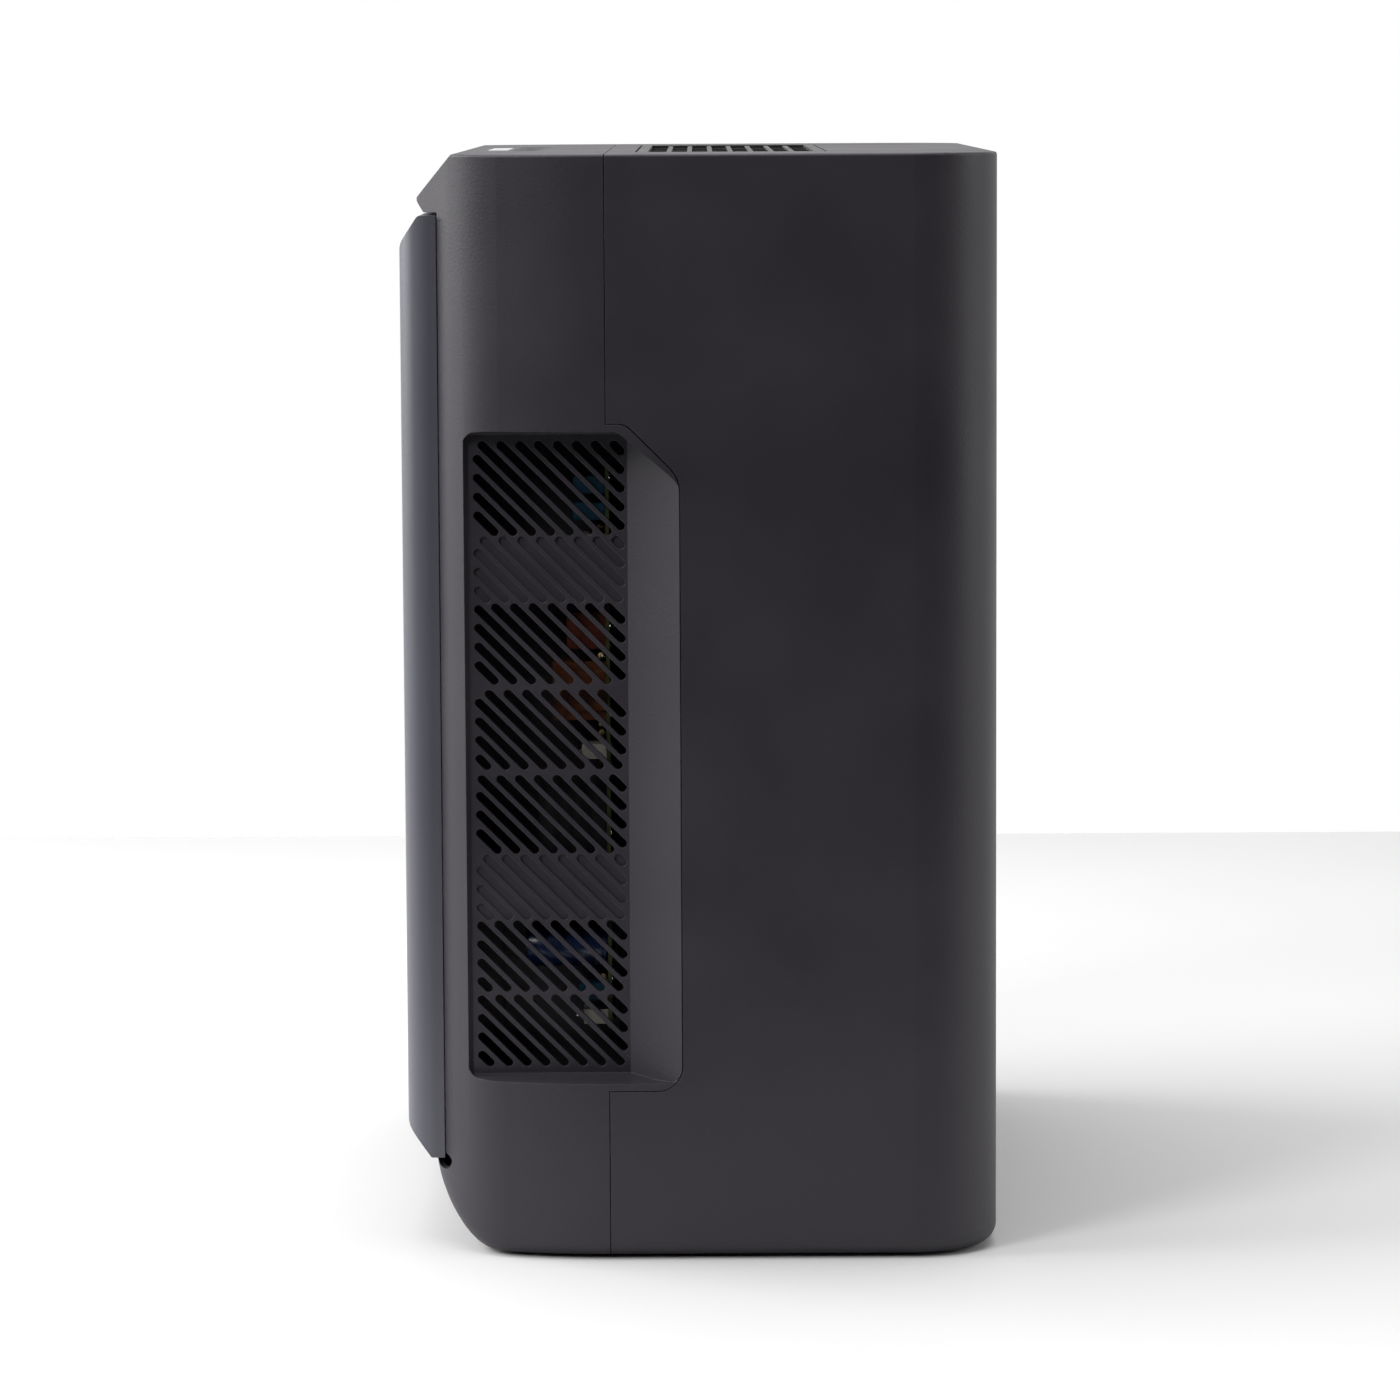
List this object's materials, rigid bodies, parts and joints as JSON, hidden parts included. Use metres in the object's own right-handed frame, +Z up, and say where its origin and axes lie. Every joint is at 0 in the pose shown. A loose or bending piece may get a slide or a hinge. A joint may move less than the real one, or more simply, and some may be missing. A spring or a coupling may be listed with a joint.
{
  "type": "air purifier",
  "caption": "Upright room air purifier: dark split cabinet with slanting side vents, a pull-off front panel over stacked filters, a centrifugal fan and a top outlet grille.",
  "frame": {"origin": "middle of the footprint on the surface that the feet stand on", "axes": "+Z up, the front panel faces -Y, +X is the cabinet's right-hand side as its back is seen"},
  "size_m": [0.39, 0.245, 0.453],
  "materials": {
    "shell_abs": "fine satin texture",
    "panel_abs": "smooth satin",
    "inner_abs": "plain moulded",
    "key_abs": "satin",
    "filter_frame": "plain moulded",
    "filter_paper": "pleated paper",
    "carbon_felt": "granular",
    "foam": "closed-cell foam",
    "rubber": "matt",
    "steel": "zinc plated",
    "magnet_nickel": "nickel plated",
    "motor_can": "black coated",
    "winding_copper": "enamelled wire",
    "bronze": "sintered",
    "board_resist": "solder resist",
    "switch_black": "plain",
    "lead_pvc": "extruded",
    "lens_smoke": "polished",
    "sleeve_blue": "shrink sleeve",
    "transformer_tape": "taped",
    "fin_aluminium": "extruded",
    "relay_orange": "moulded",
    "socket_nylon": "natural nylon"
  },
  "bodies": {
    "cabinet": {"front_shell": "shell_abs", "rear_shell": "shell_abs", "filter_tub": "inner_abs", "inlet_guard": "inner_abs", "fan_scroll": "inner_abs", "scroll_cover": "inner_abs", "outlet_grille": "inner_abs", "board_carrier": "inner_abs", "sensor_carrier": "inner_abs", "air_sensor": "inner_abs", "power_inlet": "inner_abs", "prefilter": "filter_frame", "hepa_frame": "filter_frame", "hepa_pleats": "filter_paper", "carbon_filter": "carbon_felt", "filter_gasket": "foam", "feet": "rubber", "motor_grommets": "rubber", "keeper_plates": "steel", "shell_screws": "steel", "tub_screws": "steel", "control_screws": "steel", "scroll_screws": "steel", "motor_screws": "steel", "inlet_pins": "steel", "motor_housing": "motor_can", "motor_stator": "winding_copper", "choke": "winding_copper", "front_bearing": "bronze", "rear_bearing": "bronze", "power_board": "board_resist", "control_board": "board_resist", "key_switches": "switch_black", "display_module": "switch_black", "inlet_lead": "lead_pvc", "motor_lead": "lead_pvc", "control_lead": "lead_pvc", "display_lens": "lens_smoke", "bulk_capacitors": "sleeve_blue", "film_capacitors": "sleeve_blue", "power_transformer": "transformer_tape", "heat_sink": "fin_aluminium", "relay": "relay_orange", "board_sockets": "socket_nylon"},
    "cover": {"front_panel": "panel_abs", "panel_magnets": "magnet_nickel"},
    "fan": {"impeller": "inner_abs", "motor_shaft": "steel", "motor_rotor": "motor_can"},
    "power_key": {"power_button": "key_abs"},
    "speed_key": {"speed_button": "key_abs"},
    "timer_key": {"timer_button": "key_abs"},
    "night_key": {"night_button": "key_abs"}
  },
  "joints": [
    {"name": "panel_pull", "type": "slide", "parent": "cabinet", "child": "cover", "axis": [0, -1, 0], "range_m": [0, 0.06]},
    {"name": "fan_spin", "type": "hinge", "parent": "cabinet", "child": "fan", "pos_m": [0, 0.02, 0.19], "axis": [0, 1, 0], "continuous": true},
    {"name": "power_press", "type": "slide", "parent": "cabinet", "child": "power_key", "axis": [0, 0, -1], "range_m": [0, 0.0008], "stiffness_N_per_m": 1500},
    {"name": "speed_press", "type": "slide", "parent": "cabinet", "child": "speed_key", "axis": [0, 0, -1], "range_m": [0, 0.0008], "stiffness_N_per_m": 1500},
    {"name": "timer_press", "type": "slide", "parent": "cabinet", "child": "timer_key", "axis": [0, 0, -1], "range_m": [0, 0.0008], "stiffness_N_per_m": 1500},
    {"name": "night_press", "type": "slide", "parent": "cabinet", "child": "night_key", "axis": [0, 0, -1], "range_m": [0, 0.0008], "stiffness_N_per_m": 1500}
  ]
}
